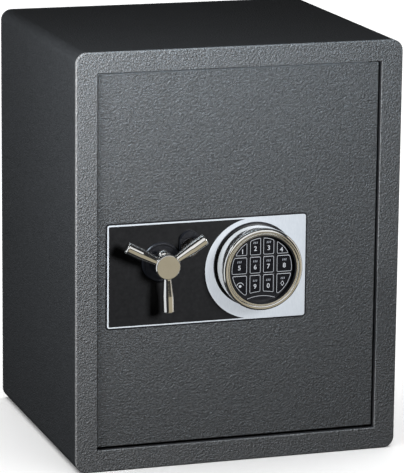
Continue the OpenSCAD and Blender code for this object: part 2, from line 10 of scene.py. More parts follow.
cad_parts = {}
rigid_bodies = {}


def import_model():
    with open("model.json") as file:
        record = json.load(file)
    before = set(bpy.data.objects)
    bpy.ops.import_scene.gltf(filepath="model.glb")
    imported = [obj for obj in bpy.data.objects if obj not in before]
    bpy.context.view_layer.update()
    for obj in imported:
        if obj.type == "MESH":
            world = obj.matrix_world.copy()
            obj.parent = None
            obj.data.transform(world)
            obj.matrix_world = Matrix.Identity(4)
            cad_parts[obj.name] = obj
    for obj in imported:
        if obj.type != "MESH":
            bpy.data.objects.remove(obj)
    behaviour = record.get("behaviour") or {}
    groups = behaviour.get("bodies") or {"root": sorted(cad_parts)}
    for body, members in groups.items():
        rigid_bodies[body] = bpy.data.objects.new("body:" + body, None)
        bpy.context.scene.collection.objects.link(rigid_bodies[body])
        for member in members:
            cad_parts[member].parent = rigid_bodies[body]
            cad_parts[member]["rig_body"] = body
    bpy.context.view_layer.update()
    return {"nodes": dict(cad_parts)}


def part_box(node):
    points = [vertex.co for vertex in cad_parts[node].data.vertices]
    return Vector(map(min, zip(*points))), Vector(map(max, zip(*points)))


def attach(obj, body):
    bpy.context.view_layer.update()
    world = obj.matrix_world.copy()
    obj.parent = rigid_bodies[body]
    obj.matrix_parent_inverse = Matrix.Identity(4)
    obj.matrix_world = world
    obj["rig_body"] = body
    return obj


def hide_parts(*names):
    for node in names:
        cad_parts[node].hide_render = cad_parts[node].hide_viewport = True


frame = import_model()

MM = 0.001
# In millimetres: nearer points of a new shape become one
WELD = 1e-4
# The same for a CAD surface, whose facets within FLAT degrees of each other become one face
CAD_WELD, FLAT = 1e-3, 0.5
# Edges that turn by more degrees than this are rounded
SHARP = 28

# ---- Mesh tools, all in millimetres ----


def spans(node):
    """Lowest and highest corner of a CAD node, in millimetres."""
    lo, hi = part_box(node)
    return lo / MM, hi / MM


def body_of(node):
    return frame["nodes"][node]["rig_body"]


def fillet(corners, steps=4, closed=False):
    """A path through corners (u, v, radius), with each corner rounded to its radius."""
    path = []
    count = len(corners)
    for i, (u, v, radius) in enumerate(corners):
        here = Vector((u, v))
        if radius == 0 or (not closed and i in (0, count - 1)):
            path.append(here)
            continue
        back = (Vector(corners[i - 1][:2]) - here).normalized()
        ahead = (Vector(corners[(i + 1) % count][:2]) - here).normalized()
        half = back.angle(ahead) / 2
        centre = here + (back + ahead).normalized() * radius / math.sin(half)
        start = (here + back * radius / math.tan(half) - centre).normalized()
        end = (here + ahead * radius / math.tan(half) - centre).normalized()
        path += [centre + start.slerp(end, k / steps) * radius for k in range(steps + 1)]
    return path


def rounded_rect(x0, x1, z0, z1, radius, steps=6):
    corners = [(x0, z0, radius), (x1, z0, radius), (x1, z1, radius), (x0, z1, radius)]
    return fillet(corners, steps, closed=True)


def at_y(outline, y):
    return [Vector((u, y, v)) for u, v in outline]


def loft(bm, rings, first_cap=True, last_cap=True):
    """Walls between closed rings of equally many points, and a cap at each end."""
    loops = [[bm.verts.new(point) for point in ring] for ring in rings]
    for low, high in zip(loops, loops[1:]):
        for i in range(len(low)):
            j = (i + 1) % len(low)
            bm.faces.new((low[i], low[j], high[j], high[i]))
    if first_cap:
        bm.faces.new(reversed(loops[0]))
    if last_cap:
        bm.faces.new(loops[-1])


def turned(bm, place, profile, steps=96):
    """A solid of revolution about -Y through place; profile points are (radius, height towards -Y)."""
    x, y, z = place
    turns = [math.tau * k / steps for k in range(steps)]
    rings = [
        [Vector((x + r * math.cos(a), y - h, z + r * math.sin(a))) for a in turns]
        for r, h in profile
    ]
    closed = (profile[0] - profile[-1]).length < WELD
    loft(bm, rings[:-1] + [rings[0]] if closed else rings, not closed, not closed)
    bmesh.ops.remove_doubles(bm, verts=bm.verts, dist=WELD)


def along(bm, start, direction):
    """Turns a solid built about -Y at the origin so that it points along direction from start."""
    turn = Vector((0, -1, 0)).rotation_difference(Vector(direction)).to_matrix().to_4x4()
    bmesh.ops.transform(bm, matrix=Matrix.Translation(start) @ turn, verts=bm.verts)


def prism(bm, outline, y_back, y_front):
    """A plate with that outline from y_back to y_front."""
    loft(bm, [at_y(outline, y_back), at_y(outline, y_front)])


def inset(outline, gap):
    """The closed outline, moved inwards by gap; it runs anticlockwise."""
    moved = []
    for i, here in enumerate(outline):
        back = (here - outline[i - 1]).normalized()
        ahead = (outline[(i + 1) % len(outline)] - here).normalized()
        inward = Vector((-back.y - ahead.y, back.x + ahead.x)).normalized()
        moved.append(here + inward * gap / max(0.4, inward.dot(Vector((-back.y, back.x)))))
    return moved


def rounded_outline(outline, cut, sharp=25):
    """The closed outline with each sharp corner rounded off, from cut before it to cut after it."""
    count = len(outline)
    corners = [
        i for i in range(count)
        if (outline[i] - outline[i - 1]).angle(outline[(i + 1) % count] - outline[i]) > math.radians(sharp)
    ]
    path = []
    for start, end in zip(corners, corners[1:] + [corners[0] + count]):
        side = trimmed([outline[i % count] for i in range(start, end + 1)], cut)
        if path:
            path += bend(path[-1], outline[start % count], side[0])
        path += side
    return path + bend(path[-1], outline[corners[0]], path[0])


def trimmed(side, cut):
    """A path without its first and last cut millimetres, or less where it is short."""
    cut = min(cut, 0.45 * sum((b - a).length for a, b in zip(side, side[1:])))
    for _ in range(2):
        left = cut
        while (side[1] - side[0]).length <= left:
            left -= (side[1] - side[0]).length
            side = side[1:]
        side = ([side[0] + (side[1] - side[0]).normalized() * left] + side[1:])[::-1]
    return side


def bend(start, corner, end, steps=4):
    """The points between start and end of a curve drawn towards corner."""
    return [
        start * (1 - t) ** 2 + corner * 2 * t * (1 - t) + end * t ** 2
        for t in (k / steps for k in range(1, steps))
    ]


def piece(name, bm, body, slot, *looks, replaces=(), smooth=35):
    """Makes a mesh object from bm, lets it ride on body, and gives it its looks."""
    bmesh.ops.recalc_face_normals(bm, faces=bm.faces)
    bmesh.ops.scale(bm, vec=(MM, MM, MM), verts=bm.verts)
    limit = math.radians(smooth)
    for edge in bm.edges:
        edge.smooth = len(edge.link_faces) == 2 and edge.calc_face_angle(0) < limit
    for face in bm.faces:
        face.smooth = True
    mesh = bpy.data.meshes.new(name)
    bm.to_mesh(mesh)
    bm.free()
    made = bpy.data.objects.new(name, mesh)
    bpy.context.scene.collection.objects.link(made)
    for look in looks:
        mesh.materials.append(look)
    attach(made, body)
    if replaces:
        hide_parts(*replaces)
    return made


def flat_shaded(made):
    """Lets the large faces of a piece look flat, up to their rounded edges."""
    flat = made.modifiers.new("flat_faces", "WEIGHTED_NORMAL")
    flat.weight = 100
    flat.keep_sharp = True
    return made


def cad_shape(node):
    """A CAD node's surface as clean faces, in millimetres."""
    bm = bmesh.new()
    bm.from_mesh(frame["nodes"][node].data)
    bmesh.ops.scale(bm, vec=(1 / MM, 1 / MM, 1 / MM), verts=bm.verts)
    bmesh.ops.remove_doubles(bm, verts=bm.verts, dist=CAD_WELD)
    bmesh.ops.dissolve_limit(bm, angle_limit=math.radians(FLAT), verts=bm.verts, edges=bm.edges)
    return bm


def soften(node, slot, look, width, steps=2, where=None):
    """The CAD node with its sharp edges rounded by width, or those whose middle where() picks."""
    bm = cad_shape(node)
    edges = [
        e for e in bm.edges
        if len(e.link_faces) == 2 and e.calc_face_angle(0) > math.radians(SHARP)
        and (where is None or where((e.verts[0].co + e.verts[1].co) / 2))
    ]
    bmesh.ops.bevel(bm, geom=edges, offset=width, segments=steps, profile=0.5,
                    affect="EDGES", clamp_overlap=True)
    return flat_shaded(piece(node + "_shape", bm, body_of(node), slot, look, replaces=[node]))


# ---- Materials ----


class Look:
    """A node material whose textures use object coordinates."""

    def __init__(self, name, color, roughness, metallic=0.0, **sockets):
        self.material = bpy.data.materials.new(name)
        self.material.use_nodes = True
        self.tree = self.material.node_tree
        self.shader = self.tree.nodes["Principled BSDF"]
        self.shader.inputs["Base Color"].default_value = (*color, 1)
        self.shader.inputs["Roughness"].default_value = roughness
        self.shader.inputs["Metallic"].default_value = metallic
        for socket, value in sockets.items():
            self.shader.inputs[socket.replace("_", " ")].default_value = value
        self.place = self.tree.nodes.new("ShaderNodeTexCoord").outputs["Object"]
        self.normal = None

    def link(self, a, b):
        self.tree.links.new(a, b)

    def noise(self, scale, detail=3.0, stretch=(1, 1, 1), roughness=0.5):
        """Noise with features of about 1/scale metres, drawn out by stretch."""
        mapping = self.tree.nodes.new("ShaderNodeMapping")
        mapping.inputs["Scale"].default_value = stretch
        self.link(self.place, mapping.inputs["Vector"])
        node = self.tree.nodes.new("ShaderNodeTexNoise")
        node.inputs["Scale"].default_value = scale
        node.inputs["Detail"].default_value = detail
        node.inputs["Roughness"].default_value = roughness
        self.link(mapping.outputs["Vector"], node.inputs["Vector"])
        return node.outputs["Fac"]

    def cells(self, scale, smoothness=0.6):
        """Rounded cells about 1/scale metres across."""
        node = self.tree.nodes.new("ShaderNodeTexVoronoi")
        node.feature = "SMOOTH_F1"
        node.inputs["Scale"].default_value = scale
        node.inputs["Smoothness"].default_value = smoothness
        self.link(self.place, node.inputs["Vector"])
        return node.outputs["Distance"]

    def spread(self, value, low, high, start=0.3, end=0.7):
        """value, mapped from start..end to low..high."""
        node = self.tree.nodes.new("ShaderNodeMapRange")
        for socket, number in (("From Min", start), ("From Max", end), ("To Min", low), ("To Max", high)):
            node.inputs[socket].default_value = number
        self.link(value, node.inputs["Value"])
        return node.outputs["Result"]

    def tint(self, value, low, high, start=0.3, end=0.7):
        """A colour between low and high, led by value."""
        node = self.tree.nodes.new("ShaderNodeValToRGB")
        node.color_ramp.elements[0].position = start
        node.color_ramp.elements[1].position = end
        node.color_ramp.elements[0].color = (*low, 1)
        node.color_ramp.elements[1].color = (*high, 1)
        self.link(value, node.inputs["Fac"])
        return node.outputs["Color"]

    def color(self, output):
        self.link(output, self.shader.inputs["Base Color"])
        return self

    def gloss(self, output):
        self.link(output, self.shader.inputs["Roughness"])
        return self

    def bump(self, height, depth, strength=1.0):
        """Relief of depth millimetres, on top of the reliefs added before it."""
        node = self.tree.nodes.new("ShaderNodeBump")
        node.inputs["Distance"].default_value = depth * MM
        node.inputs["Strength"].default_value = strength
        self.link(height, node.inputs["Height"])
        if self.normal:
            self.link(self.normal, node.inputs["Normal"])
        self.normal = node.outputs["Normal"]
        self.link(self.normal, self.shader.inputs["Normal"])
        return self


def powder_coat(name, dark, light, roughness, grain, **sockets):
    """Textured paint: an orange-peel skin with a fine grain and slow changes of shade."""
    look = Look(name, dark, roughness, **sockets)
    look.color(look.tint(look.noise(420, 4), dark, light))
    look.gloss(look.spread(look.noise(9, 3), roughness - 0.05, roughness + 0.06))
    look.bump(look.cells(520, 0.4), grain * 0.7)
    look.bump(look.noise(520, 3, roughness=0.7), grain)
    return look.material


def plated_steel(name, low, high, roughness):
    """Zinc plating: a faint cloudy spangle over rolled steel."""
    look = Look(name, low, roughness, metallic=1.0)
    look.color(look.tint(look.noise(70, 4), low, high))
    look.gloss(look.spread(look.noise(160, 4), roughness - 0.07, roughness + 0.08))
    look.bump(look.noise(1400, 2, stretch=(1, 1, 0.15)), 0.02)
    return look.material


def polished_chrome(name):
    look = Look(name, (0.83, 0.82, 0.8), 0.07, metallic=1.0)
    look.color(look.tint(look.noise(40, 3), (0.8, 0.79, 0.76), (0.87, 0.87, 0.86)))
    look.gloss(look.spread(look.noise(260, 4), 0.05, 0.12))
    look.bump(look.noise(190, 2), 0.012)
    return look.material


def dark_chrome(name):
    """Black nickel plating."""
    look = Look(name, (0.2, 0.2, 0.21), 0.16, metallic=1.0)
    look.color(look.tint(look.noise(60, 3), (0.16, 0.16, 0.17), (0.24, 0.24, 0.25)))
    look.gloss(look.spread(look.noise(260, 4), 0.12, 0.22))
    look.bump(look.noise(240, 2), 0.012)
    return look.material


def satin_silver(name):
    """Satin metal film with a very fine vertical grain."""
    look = Look(name, (0.64, 0.67, 0.7), 0.36, metallic=0.1, Specular_IOR_Level=0.3)
    look.color(look.tint(look.noise(1200, 3, stretch=(1, 1, 0.2)), (0.62, 0.65, 0.69), (0.68, 0.71, 0.745)))
    look.gloss(look.spread(look.noise(60, 3), 0.32, 0.42))
    look.bump(look.noise(2200, 2, stretch=(1, 1, 0.12)), 0.01)
    return look.material


def plastic(name, low, high, roughness, grain=0.02, **sockets):
    """Moulded plastic with a fine spark-eroded grain."""
    look = Look(name, low, roughness, **sockets)
    look.color(look.tint(look.noise(300, 4), low, high))
    look.gloss(look.spread(look.noise(120, 3), roughness - 0.05, roughness + 0.07))
    look.bump(look.noise(1800, 2), grain)
    return look.material


def felt_cloth(name):
    """Short felt: tangled fibres, a soft nap and a sheen."""
    look = Look(name, (0.02, 0.02, 0.023), 0.95, Sheen_Weight=0.35, Sheen_Roughness=0.5)
    fibres = look.noise(330, 6, roughness=0.8)
    look.color(look.tint(fibres, (0.008, 0.008, 0.009), (0.05, 0.05, 0.055), 0.38, 0.62))
    look.bump(look.noise(1300, 6, roughness=0.75), 0.5)
    look.bump(look.noise(45, 3), 0.8, 0.5)
    return look.material


def cast_brass(name):
    look = Look(name, (0.66, 0.5, 0.24), 0.3, metallic=1.0)
    look.color(look.tint(look.noise(120, 4), (0.55, 0.4, 0.17), (0.74, 0.58, 0.3)))
    look.gloss(look.spread(look.noise(300, 3), 0.22, 0.38))
    look.bump(look.noise(1500, 2, stretch=(1, 0.1, 1)), 0.015)
    return look.material


def ink(name, low, high):
    """Printed ink, a little uneven."""
    look = Look(name, low, 0.4)
    look.color(look.tint(look.noise(1500, 3), low, high))
    look.gloss(look.spread(look.noise(700, 2), 0.32, 0.5))
    look.bump(look.noise(2500, 2), 0.01)
    return look.material


PAINT = powder_coat("body_paint", (0.053, 0.0535, 0.0545), (0.103, 0.1035, 0.1055), 0.46, 0.95,
                    Specular_IOR_Level=0.35)
# Painted shade: a near-black paint for the frame's faces round the door, standing in for the shade in the gap
PAINTED_SHADE = powder_coat("frame_returns_painted_shade", (0.008, 0.008, 0.009), (0.013, 0.013, 0.014), 0.6, 0.1,
                          Specular_IOR_Level=0.2)
INNER_PAINT = powder_coat("inner_paint", (0.045, 0.048, 0.053), (0.058, 0.062, 0.068), 0.5, 0.1)
STEEL = plated_steel("zinc_steel", (0.46, 0.46, 0.47), (0.6, 0.6, 0.61), 0.34)
BLACK_STEEL = plated_steel("black_steel", (0.035, 0.035, 0.037), (0.055, 0.055, 0.058), 0.42)
CHROME = polished_chrome("chrome")
DARK_CHROME = dark_chrome("dark_chrome")
SILVER = satin_silver("bright_plate")
BLACK_FILM = plastic("black_film", (0.022, 0.022, 0.023), (0.03, 0.03, 0.031), 0.34,
                     Specular_IOR_Level=0.15)
BLACK_PLASTIC = plastic("black_plastic", (0.009, 0.009, 0.011), (0.015, 0.015, 0.018), 0.36,
                        Specular_IOR_Level=0.35)
KEY_PLASTIC = plastic("key_plastic", (0.008, 0.008, 0.01), (0.014, 0.014, 0.017), 0.22, 0.012)
SILVER_INK = ink("silver_ink", (0.72, 0.74, 0.78), (0.86, 0.88, 0.92))
GREY_INK = ink("grey_ink", (0.34, 0.36, 0.4), (0.5, 0.52, 0.56))
WHITE_INK = ink("white_ink", (0.72, 0.74, 0.78), (0.86, 0.87, 0.9))
FELT = felt_cloth("felt")
BRASS = cast_brass("brass")
BOARD = plastic("circuit_board", (0.015, 0.1, 0.04), (0.03, 0.15, 0.07), 0.45)
SHEATH = plastic("cable_sheath", (0.3, 0.3, 0.32), (0.42, 0.42, 0.44), 0.45)

# ---- Cabinet ----

front_lo = spans("front_frame")[0]
door_hi = spans("door_plate")[1]
plate_lo = spans("lock_plate")[0]
cover_lo, cover_hi = spans("inner_cover")
hub_lo, hub_hi = spans("handle_hub")
ring_lo, ring_hi = spans("keypad_ring")
face_lo, face_hi = spans("keypad_face")

# The frame's faces round the door get painted shade: a near-black paint in place of the shade in the gap.
# They lie more than RETURN_DEPTH behind its front, and within RETURN_MARGIN of the door
RETURN_DEPTH = 1
RETURN_MARGIN = 4

frame_piece = soften("front_frame", "body_paint", PAINT, 1.3, 3, lambda p: abs(p.y - front_lo.y) < 0.1)
frame_piece.data.materials.append(PAINTED_SHADE)
for face in frame_piece.data.polygons:
    middle = face.center / MM
    round_door = abs(middle.x) < door_hi.x + RETURN_MARGIN and middle.z < door_hi.z + RETURN_MARGIN
    if round_door and middle.y - front_lo.y > RETURN_DEPTH:
        face.material_index = 1
soften("back_panel", "body_paint", PAINT, 0.8, 3)
soften("door_plate", "body_paint", PAINT, 0.6, 3)
soften("door_stop", "body_paint", PAINT, 0.4)
frame["nodes"]["outer_shell"].data.materials[0] = PAINT
soften("shelf", "inner_paint", INNER_PAINT, 0.7, 3)
soften("shelf_brackets", "inner_paint", INNER_PAINT, 0.5)


def felt_mat(node):
    """A felt mat, cut flat and laid on the piece below, with its edges rounded."""
    mat = soften(node, "felt", FELT, 1.0, 3)


felt_mat("floor_mat")
felt_mat("shelf_mat")
soften("door_pan", "inner_paint", INNER_PAINT, 0.5, 2)
soften("hinge_pins", "zinc_steel", BLACK_STEEL, 0.5, 2)
for steel_node in ("hinge_blocks", "hinge_lugs", "dead_bars", "bolt_guides", "bolt_carriage", "lock_lid"):
    soften(steel_node, "zinc_steel", STEEL, 0.4, 2)
for steel_node in ("carriage_studs", "lock_case", "lock_motor", "lock_screws", "spindle", "drive_cam",
                   "cam_pin", "cam_screw", "key_nut", "key_cam", "keypad_battery"):
    frame["nodes"][steel_node].data.materials[0] = STEEL
soften("locking_bolts", "chrome", CHROME, 0.5, 2)
for node, look in (("spindle_bush", BRASS), ("lock_bolt", BRASS), ("key_plug", BLACK_STEEL),
                   ("keypad_board", BOARD), ("keypad_cable", SHEATH)):
    frame["nodes"][node].data.materials[0] = look

# ---- Lock plate ----

soften("fascia_backing", "black_film", BLACK_PLASTIC, 0.25)
soften("lock_plate", "bright_plate", SILVER, 0.25, 2)
soften("fascia_inlay", "black_film", BLACK_FILM, 0.08)
soften("key_escutcheon", "black_plastic", BLACK_PLASTIC, 1.0, 3)
soften("key_barrel", "chrome", DARK_CHROME, 0.4, 2)

# ---- Inside of the door ----


# The pressed sheet from its rim to its middle: distance in from the edge, height, corner radius
COVER_STEPS = [(0, 0, 5), (0, 1.1, 5), (0.4, 1.5, 5), (17, 1.5, 9), (18.5, 1.9, 9), (21, 4.1, 9),
               (22.5, 4.5, 9), (60, 4.5, 6), (61, 4.2, 6), (62.5, 3.3, 6), (63.5, 3.0, 6)]
SCREW_HEAD_R = 3.6
SCREW_SHANK_R = 1.5
SOCKET_R = 1.6
SCREW_STEPS = 24


def pressed_cover():
    """The inner cover: a sheet with a raised panel pressed into it."""
    bm = bmesh.new()
    loft(bm, [
        at_y(rounded_rect(cover_lo.x + gap, cover_hi.x - gap, cover_lo.z + gap, cover_hi.z - gap, radius),
             cover_lo.y + height)
        for gap, height, radius in COVER_STEPS
    ])
    flat_shaded(piece("inner_cover_sheet", bm, "door", "inner_paint", INNER_PAINT,
                      replaces=["inner_cover"], smooth=50))


def screw_ring(x, z, radius, y, hexagon=False):
    """A circle about (x, z), or a hexagon of that radius across its corners."""
    points = []
    for k in range(SCREW_STEPS):
        a = math.tau * k / SCREW_STEPS
        reach = radius
        if hexagon:
            reach *= math.cos(math.pi / 6) / math.cos((a % (math.pi / 3)) - math.pi / 6)
        points.append(Vector((x + reach * math.cos(a), y, z + reach * math.sin(a))))
    return points


def cover_screw_heads():
    """Socket screws along the edge of the inner cover."""
    screws_lo, screws_hi = spans("cover_screws")
    head, top = SCREW_HEAD_R, screws_hi.y
    xs = (screws_lo.x + head, (screws_lo.x + screws_hi.x) / 2, screws_hi.x - head)
    zs = (screws_lo.z + head, (screws_lo.z + screws_hi.z) / 2, screws_hi.z - head)
    places = [(x, z) for x in xs for z in zs if not (x == xs[1] and z == zs[1])]
    rings = [(SCREW_SHANK_R, screws_lo.y), (SCREW_SHANK_R, cover_hi.y - 0.2), (head, cover_hi.y),
             (head, top - 0.6), (head - 0.25, top - 0.2), (head - 0.7, top),
             (SOCKET_R + 0.15, top, True), (SOCKET_R, top - 0.15, True), (SOCKET_R, top - 1.4, True)]
    bm = bmesh.new()
    for x, z in places:
        loft(bm, [screw_ring(x, z, *ring) for ring in rings])
    piece("cover_screw_heads", bm, "door", "zinc_steel", STEEL, replaces=["cover_screws"])


pressed_cover()
cover_screw_heads()

# ---- Handle ----

HANDLE_REACH = 50
HUB_HEAD_T = 16
HUB_NECK_R = 9
# The boss and the spokes: their axes lie this far behind the hub's face, at these angles from the right
BOSS_DEPTH, BOSS_ANGLE = 10.5, 105
SPOKE_DEPTH, SPOKE_ANGLE = 6, 32.5
BOSS_R, BOSS_START, BOSS_REACH, BOSS_ROUNDING = 6.4, 5, 17.5, 6.3
# A spoke widens from its neck to its grip between these distances from the handle's axis
SPOKE_NECK_R, SPOKE_GRIP_R = 4.6, 6.3
SPOKE_START, NECK_END, GRIP_START = 6, 14.5, 32
ROSE_BORE_R, ROSE_DISH_R = 6, 13

handle_x = (hub_lo.x + hub_hi.x) / 2
hub_r = (hub_hi.x - hub_lo.x) / 2
handle_z = hub_lo.z + hub_r
hub_depth = hub_hi.y - hub_lo.y


def outward(angle):
    a = math.radians(angle)
    return Vector((math.cos(a), 0, math.sin(a)))


def handle_hub():
    """Hub on its neck, with a round boss near its top."""
    bm = bmesh.new()
    neck_h = hub_depth - HUB_HEAD_T
    turned(bm, (handle_x, hub_hi.y, handle_z), fillet(
        [(0, 0, 0), (HUB_NECK_R, 0, 0.6), (HUB_NECK_R, neck_h - 0.4, 0.8), (HUB_NECK_R + 1.5, neck_h, 0.5),
         (hub_r - 1.2, neck_h, 1.0), (hub_r, neck_h + 1.6, 1.2), (hub_r, hub_depth - 1, 1),
         (hub_r - 1, hub_depth, 1), (0, hub_depth, 0)]))
    flat_shaded(piece("handle_hub_cast", bm, "handle", "chrome", CHROME, replaces=["handle_hub"], smooth=40))
    bm = bmesh.new()
    turned(bm, (0, 0, 0), fillet(
        [(0, BOSS_START, 0), (BOSS_R, BOSS_START, 0), (BOSS_R, BOSS_REACH, BOSS_ROUNDING),
         (0, BOSS_REACH, 0)], 12))
    along(bm, (handle_x, hub_lo.y + BOSS_DEPTH, handle_z), outward(BOSS_ANGLE))
    piece("handle_boss", bm, "handle", "chrome", CHROME, smooth=40)


def handle_spokes():
    """Three spokes, thin at the hub and thicker where the hand holds them."""
    for i in range(3):
        bm = bmesh.new()
        turned(bm, (0, 0, 0), fillet(
            [(0, SPOKE_START, 0), (SPOKE_NECK_R, SPOKE_START, 0), (SPOKE_NECK_R, NECK_END, 3),
             (SPOKE_GRIP_R, GRIP_START, 5), (SPOKE_GRIP_R, HANDLE_REACH, 2.0), (3.5, HANDLE_REACH, 0),
             (0, HANDLE_REACH + 0.15, 0)], 6))
        along(bm, (handle_x, hub_lo.y + SPOKE_DEPTH, handle_z), outward(SPOKE_ANGLE + 120 * i))
        made = flat_shaded(piece(f"handle_spoke_{i + 1}", bm, "handle", "chrome", CHROME, smooth=40))
        if i == 0:
            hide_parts("handle_spokes")


def handle_rose():
    """The black disc behind the handle, with a shallow dish."""
    lo, hi = spans("handle_rose")
    radius = (hi.x - lo.x) / 2
    top = hi.y - lo.y
    bm = bmesh.new()
    turned(bm, (handle_x, hi.y, handle_z), fillet(
        [(ROSE_BORE_R, 0, 0), (radius, 0, 0), (radius, top - 1.1, 0.3), (radius - 1.0, top, 0.5),
         (radius - 2.4, top, 0.3), (radius - 3.0, top - 0.5, 0.3), (ROSE_DISH_R, top - 0.2, 0.5),
         (ROSE_DISH_R - 0.8, top - 0.8, 0.2), (ROSE_BORE_R, top - 0.8, 0), (ROSE_BORE_R, 0, 0)]))
    piece("handle_rose_disc", bm, "door", "black_plastic", BLACK_PLASTIC, replaces=["handle_rose"])


handle_hub()
handle_spokes()
handle_rose()

# ---- Keypad ----

keypad_x = (ring_lo.x + ring_hi.x) / 2
keypad_z = (ring_lo.z + ring_hi.z) / 2
bezel_r = (ring_hi.x - ring_lo.x) / 2
keypad_h = plate_lo.y - ring_lo.y
face_back_h = plate_lo.y - face_hi.y
face_r = (face_hi.x - face_lo.x) / 2
# How far the keys stand out of the keypad's face
KEY_PROUD = 1.2
ROUND_STEPS = 128
BASE_BORE_R, BASE_RIM_R, BASE_FLOOR_T = 30, 40, 1.8
# The ring's radii, and heights above the lock plate: skirt, shadow groove, then the bezel
RING_BORE_R, RING_FOOT = 40.8, 3
SKIRT_R, SKIRT_TOP = 43.9, 22.4
GROOVE_R, GROOVE_TOP = 42.6, 23.6
BEZEL_CREST_R, BEZEL_ROUNDING = 39.9, 3.6


def keypad_base():
    """The black base between the lock plate and the keypad's ring."""
    lo, hi = spans("keypad_base")
    radius = (hi.x - lo.x) / 2
    top = hi.y - lo.y
    bm = bmesh.new()
    turned(bm, (keypad_x, hi.y, keypad_z), fillet(
        [(BASE_BORE_R, 0, 0), (radius, 0, 0), (radius, top - 0.9, 0.4), (radius - 0.9, top, 0.5),
         (BASE_RIM_R, top, 0.2), (BASE_RIM_R - 0.4, BASE_FLOOR_T, 0), (BASE_BORE_R, BASE_FLOOR_T, 0),
         (BASE_BORE_R, 0, 0)]), ROUND_STEPS)
    piece("keypad_base_ring", bm, "door", "black_plastic", BLACK_PLASTIC, replaces=["keypad_base"])


def keypad_ring():
    """Skirt, a shadow groove and the round bezel, with a thin lip round the keypad's face."""
    top = keypad_h
    lip = face_r + 0.1
    bm = bmesh.new()
    turned(bm, (keypad_x, plate_lo.y, keypad_z), fillet(
        [(RING_BORE_R, RING_FOOT, 0), (SKIRT_R, RING_FOOT, 0.4), (SKIRT_R - 0.3, SKIRT_TOP, 0.4),
         (GROOVE_R, SKIRT_TOP + 0.4, 0.1), (GROOVE_R, GROOVE_TOP, 0.1), (bezel_r - 0.2, GROOVE_TOP, 0.3),
         (bezel_r, GROOVE_TOP + 1.2, 0.5), (bezel_r, top, BEZEL_ROUNDING), (BEZEL_CREST_R, top, 2.0),
         (lip + 1.6, top - 1.4, 0.3), (lip + 1.3, top - 0.5, 0.2), (lip + 0.2, top - 0.4, 0.2),
         (lip, top - 1.2, 0.2), (lip, face_back_h, 0), (RING_BORE_R, face_back_h, 0),
         (RING_BORE_R, RING_FOOT, 0)], 8), ROUND_STEPS)
    piece("keypad_ring_turned", bm, "door", "chrome", CHROME, replaces=["keypad_ring"])


def front_outline(node):
    """The outline of a key's front face, anticlockwise."""
    bm = cad_shape(node)
    front = min(bm.faces, key=lambda face: face.calc_center_median().y)
    outline = [Vector((v.co.x, v.co.z)) for v in front.verts]
    bm.free()
    area = sum(a.x * b.y - b.x * a.y for a, b in zip(outline, outline[1:] + outline[:1]))
    return outline if area > 0 else outline[::-1]


PRINT_T = 0.06
LINE_W = 0.42
OUTLINE_GAP = 0.3
OUTLINE_CUT = 1.6
# The built-in font, made a little bolder; its depth is replaced with PRINT_T
FONT_BOLDER, FONT_DEPTH = 0.012, 0.004
# A digit's height, its middle as a share of the key's height, and the bars' place above it
DIGIT_H, DIGIT_LEVEL, BARS_UP = 5.0, 0.39, 6.2
# The round edge of keys 1 and 4 pushes their digits in and down, and leaves no room for the bars
CORNER_IN, CORNER_DOWN = 1.6, 0.9
# Half the width and height of a bar, how far it leans, and the distance to the next
BAR_W, BAR_H, BAR_LEAN, BAR_PITCH = 0.42, 1.1, 0.25, 1.75
# The mark of the star key, a dot under a bow: its place, its radii, and the bow's angles
STAR_X, STAR_Z, DOT_R = 0.8, 2.0, 1.5
BOW_OUTER_R, BOW_INNER_R = 4.1, 3.5
BOW_START, BOW_STEP, BOW_STEPS = 15, 12.5, 12
# The mark of the enter key, a small diamond with bars above it
DIAMOND = ((0, -3), (2, 0), (0, 3), (-2, 0))
DIAMOND_X, DIAMOND_Z, DIAMOND_LINE_W = -1.6, 2.4, 0.5
ENTER_BARS_X, ENTER_BARS_Z = -1.2, 8


def print_strip(name, outer, inner, y, body, look):
    """A thin printed line between two outlines of equally many points, on a face at y."""
    bm = bmesh.new()
    rings = [at_y(outer, y), at_y(outer, y - PRINT_T), at_y(inner, y - PRINT_T), at_y(inner, y)]
    loft(bm, rings + [rings[0]], False, False)
    bmesh.ops.remove_doubles(bm, verts=bm.verts, dist=WELD)
    piece(name, bm, body, "key_plastic", look)


def print_digit(name, text, x, z, y, height, body):
    """A digit from the built-in font, as a thin solid centred on (x, z)."""
    curve = bpy.data.curves.new(name, "FONT")
    curve.body = text
    curve.size = 1
    curve.offset = FONT_BOLDER
    curve.extrude = FONT_DEPTH
    writing = bpy.data.objects.new(name + "_text", curve)
    bpy.context.scene.collection.objects.link(writing)
    view = bpy.context.evaluated_depsgraph_get()
    flat = bpy.data.meshes.new_from_object(writing.evaluated_get(view))
    bm = bmesh.new()
    bm.from_mesh(flat)
    bpy.data.objects.remove(writing)
    bpy.data.meshes.remove(flat)
    xs, ys = [v.co.x for v in bm.verts], [v.co.y for v in bm.verts]
    scale = height / (max(ys) - min(ys))
    middle = ((max(xs) + min(xs)) / 2, (max(ys) + min(ys)) / 2)
    for v in bm.verts:
        depth = PRINT_T if v.co.z > 0 else 0
        v.co = Vector((x + (v.co.x - middle[0]) * scale, y - depth, z + (v.co.y - middle[1]) * scale))
    bmesh.ops.remove_doubles(bm, verts=bm.verts, dist=WELD)
    piece(name, bm, body, "key_plastic", WHITE_INK)


def print_bars(name, x, z, y, body):
    """Three short leaning marks, in place of the letters over a digit."""
    corners = ((-BAR_W, -BAR_H), (BAR_W, -BAR_H), (BAR_W, BAR_H), (-BAR_W, BAR_H))
    bm = bmesh.new()
    for side in (-1, 0, 1):
        middle = Vector((x + BAR_PITCH * side, z))
        prism(bm, [middle + Vector((u + BAR_LEAN * v, v)) for u, v in corners], y, y - PRINT_T)
    piece(name, bm, body, "key_plastic", GREY_INK)


